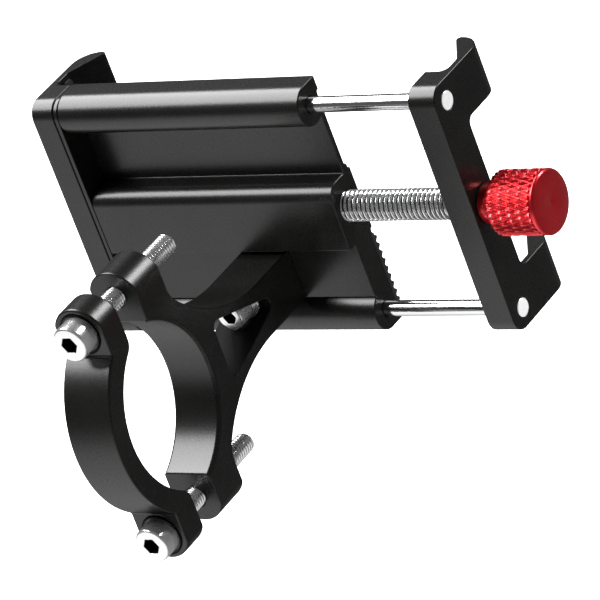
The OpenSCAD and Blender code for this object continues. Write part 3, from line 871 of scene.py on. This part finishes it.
lead_lo, lead_hi = node_box("lead_screw")
thread_end = moving_lo.x - 1.4
LEAD_R, LEAD_PITCH, LEAD_DEPTH = 2.95, 1.0, 0.52
SHOULDER_R, JOURNAL_R = 2.85, 2.5
thread = threaded_rod(
    "thread",
    "X",
    screw_mid.y,
    screw_mid.z,
    lead_lo.x,
    thread_end,
    LEAD_R,
    LEAD_PITCH,
    LEAD_DEPTH,
    n=64,
    per_turn=10,
    tip=0.5,
    foot=0.7,
)
shoulder_profile = [(thread_end - 0.6, 0), (thread_end - 0.6, 2.3), (thread_end, SHOULDER_R)]
shoulder_profile += [(moving_lo.x - 0.1, SHOULDER_R), (moving_lo.x - 0.1, JOURNAL_R)]
shoulder_profile += [(lead_hi.x, JOURNAL_R), (lead_hi.x, 0)]
shoulder = revolve("shoulder", shoulder_profile, "X", screw_mid.y, screw_mid.z, 64)
shoulder.data.set_sharp_from_angle(angle=radians(30))
lead = join("lead_screw", [thread, shoulder])
second_material(
    lead,
    shadowed,
    lambda p: p.x < thread_end - 0.7 and hypot(p.y - screw_mid.y, p.z - screw_mid.z) < LEAD_R - 0.36,
)
finish_piece(lead, thread_steel, "drive", ["lead_screw"])

ring_piece("thrust_washer", 2.55, "X", 0.08, nylon, "drive")

COLLAR_L = 2.6
COLLAR_R = 3.8
KNOB_R = (knob_hi.z - knob_lo.z) / 2
KNURLS = 32
KNURL_PITCH = 4.0
KNURL_DEPTH = 0.42


def knurl(x, turn):
    """Depth of two crossing sets of V grooves, 0 on a diamond's top and 1 in a groove."""
    a = x / KNURL_PITCH
    c = turn * KNURLS
    first = abs(((c + a) % 1.0) - 0.5) * 2
    second = abs(((c - a) % 1.0) - 0.5) * 2
    ridge = max(first, second)
    return min(1.0, max(0.0, (ridge - 0.3) / 0.62))


def knob_stations():
    """(x, radius, knurl weight) from the collar's back to the centre of the end face."""
    x0, x1 = knob_lo.x, knob_hi.x
    s = [(x0, 2.55, 0), (x0, COLLAR_R - 0.25, 0)]
    s += [(x0 + 0.08, COLLAR_R - 0.08, 0), (x0 + 0.25, COLLAR_R, 0)]
    s += [(x0 + COLLAR_L - 0.1, COLLAR_R, 0), (x0 + COLLAR_L, COLLAR_R + 0.1, 0)]
    s += [(x0 + COLLAR_L, KNOB_R - 0.95, 0), (x0 + COLLAR_L + 0.15, KNOB_R - 0.75, 0)]
    start, end = x0 + COLLAR_L + 0.75, x1 - 1.25
    n = 54
    for i in range(n + 1):
        x = start + (end - start) * i / n
        s.append((x, KNOB_R, 1))
    s += [(end + 0.05, KNOB_R - KNURL_DEPTH, 0), (end + 0.3, KNOB_R - KNURL_DEPTH, 0)]
    s += [(end + 0.42, KNOB_R - 0.05, 0)]
    s += [(end + 0.5, KNOB_R, 0), (x1 - 0.42, KNOB_R, 0), (x1 - 0.3, KNOB_R - 0.05, 0)]
    s += [(x1 - 0.05, KNOB_R - 0.32, 0), (x1, KNOB_R - 0.42, 0)]
    s += [(x1, 3.0, 0), (x1, 0.5, 0), (x1 - 0.06, 0.36, 0), (x1 - 0.28, 0, 0)]
    return s


def knob_piece():
    n = KNURLS * 10
    mid = middle("knob")
    bm = bmesh.new()
    rings = []
    for x, r, weight in knob_stations():
        if r == 0:
            rings.append([bm.verts.new(place("X", x, mid.y, mid.z))])
            continue
        ring = []
        for k in range(n):
            around = 2 * pi * k / n
            radius = r - weight * KNURL_DEPTH * knurl(x - knob_lo.x, k / n)
            y, z = mid.y + radius * cos(around), mid.z + radius * sin(around)
            ring.append(bm.verts.new(place("X", x, y, z)))
        rings.append(ring)
    close_rings(bm, rings, n)
    obj = to_object("knob", bm)
    obj.data.set_sharp_from_angle(angle=radians(38))
    return obj


finish_piece(knob_piece(), red, "drive", ["knob"])

# ---------------------------------------------------------------- floor, light, camera
FLOOR_Z = -0.085


def floor_material():
    material, tree, bsdf = shader("floor")
    vector = coordinates(tree, (0.02, 0.02, 0.02))
    cloud = noise(tree, vector, 1.0, 3.0)
    colour = tint(tree, cloud, (0.90, 0.90, 0.90), (0.94, 0.94, 0.94))
    tree.links.new(colour, bsdf.inputs["Base Color"])
    tree.links.new(colour, bsdf.inputs["Emission Color"])
    bsdf.inputs["Emission Strength"].default_value = 0.9
    bsdf.inputs["Roughness"].default_value = 0.9
    return material


bm = bmesh.new()
bmesh.ops.create_grid(bm, x_segments=4, y_segments=4, size=12.0)
floor = to_object("floor", bm)
floor.location = (0, 0, FLOOR_Z)
floor.data.materials.append(floor_material())
floor.visible_glossy = False

world = bpy.data.worlds.new("studio")
bpy.context.scene.world = world
world.use_nodes = True


def studio(tree):
    """Dark walls over a pale floor that is brightest in front of the clamp."""
    source = tree.nodes.new("ShaderNodeTexCoord")

    def ramp(direction, low, high):
        facing = tree.nodes.new("ShaderNodeVectorMath")
        facing.operation = "DOT_PRODUCT"
        facing.inputs[1].default_value = direction
        tree.links.new(source.outputs["Generated"], facing.inputs[0])
        level = tree.nodes.new("ShaderNodeMapRange")
        level.interpolation_type = "SMOOTHSTEP"
        level.inputs["From Min"].default_value = low
        level.inputs["From Max"].default_value = high
        tree.links.new(facing.outputs["Value"], level.inputs["Value"])
        return level.outputs["Result"]

    both = tree.nodes.new("ShaderNodeMath")
    both.operation = "MULTIPLY"
    tree.links.new(ramp((0, 0, -1), -0.02, 0.42), both.inputs[0])
    tree.links.new(ramp((-0.55, -0.83, 0), -0.3, 0.9), both.inputs[1])
    level = spread(tree, both.outputs["Value"], WALLS, WALLS + FLOOR_GLOW, 0, 1)
    tree.links.new(level, tree.nodes["Background"].inputs["Strength"])
    tree.nodes["Background"].inputs["Color"].default_value = (1.0, 1.0, 1.0, 1)


WALLS = 0.1
FLOOR_GLOW = 1.3
studio(world.node_tree)

AZIMUTH, ELEVATION, ROLL = radians(41.006), radians(25.750), radians(21.096)
DISTANCE = 0.9875
SHIFT_X, SHIFT_Y = -0.02899, -0.02112
back = Vector((sin(AZIMUTH) * cos(ELEVATION), -cos(AZIMUTH) * cos(ELEVATION), sin(ELEVATION)))
right = Vector((cos(AZIMUTH), sin(AZIMUTH), 0))
up = back.cross(right)
cam_x = cos(ROLL) * right - sin(ROLL) * up
cam_y = sin(ROLL) * right + cos(ROLL) * up
eye = DISTANCE * back - SHIFT_X * cam_x - SHIFT_Y * cam_y
camera = bpy.data.objects.new("camera", bpy.data.cameras.new("camera"))
bpy.context.collection.objects.link(camera)
camera.matrix_world = Matrix.Translation(eye) @ Matrix((cam_x, cam_y, back)).transposed().to_4x4()
camera.data.sensor_width = 36
camera.data.lens = 333.5
camera.data.clip_start, camera.data.clip_end = 0.01, 50
bpy.context.scene.camera = camera
bpy.context.scene.view_settings.view_transform = "Standard"


def area(name, direction, distance, length, width, power, along=(0, 1, 0)):
    """A soft box that faces the object from a world direction; its long side lies along a line."""
    light = bpy.data.lights.new(name, "AREA")
    light.shape = "RECTANGLE"
    light.size = length
    light.size_y = width
    light.energy = power
    obj = bpy.data.objects.new(name, light)
    bpy.context.collection.objects.link(obj)
    toward = Vector(direction).normalized()
    side = (Vector(along) - Vector(along).dot(toward) * toward).normalized()
    turn = Matrix((side, toward.cross(side), toward)).transposed().to_4x4()
    obj.matrix_world = Matrix.Translation(AIM + toward * distance) @ turn
    return obj


AIM = Vector((0, 0.03, 0.01))
area("key", (-0.591, 0.0, 0.806), 1.0, 1.15, 0.5, 26, (0, 1, 0))
area("back", (0.48, 0.68, 0.55), 1.0, 0.30, 0.30, 7, (1, 0, 0))
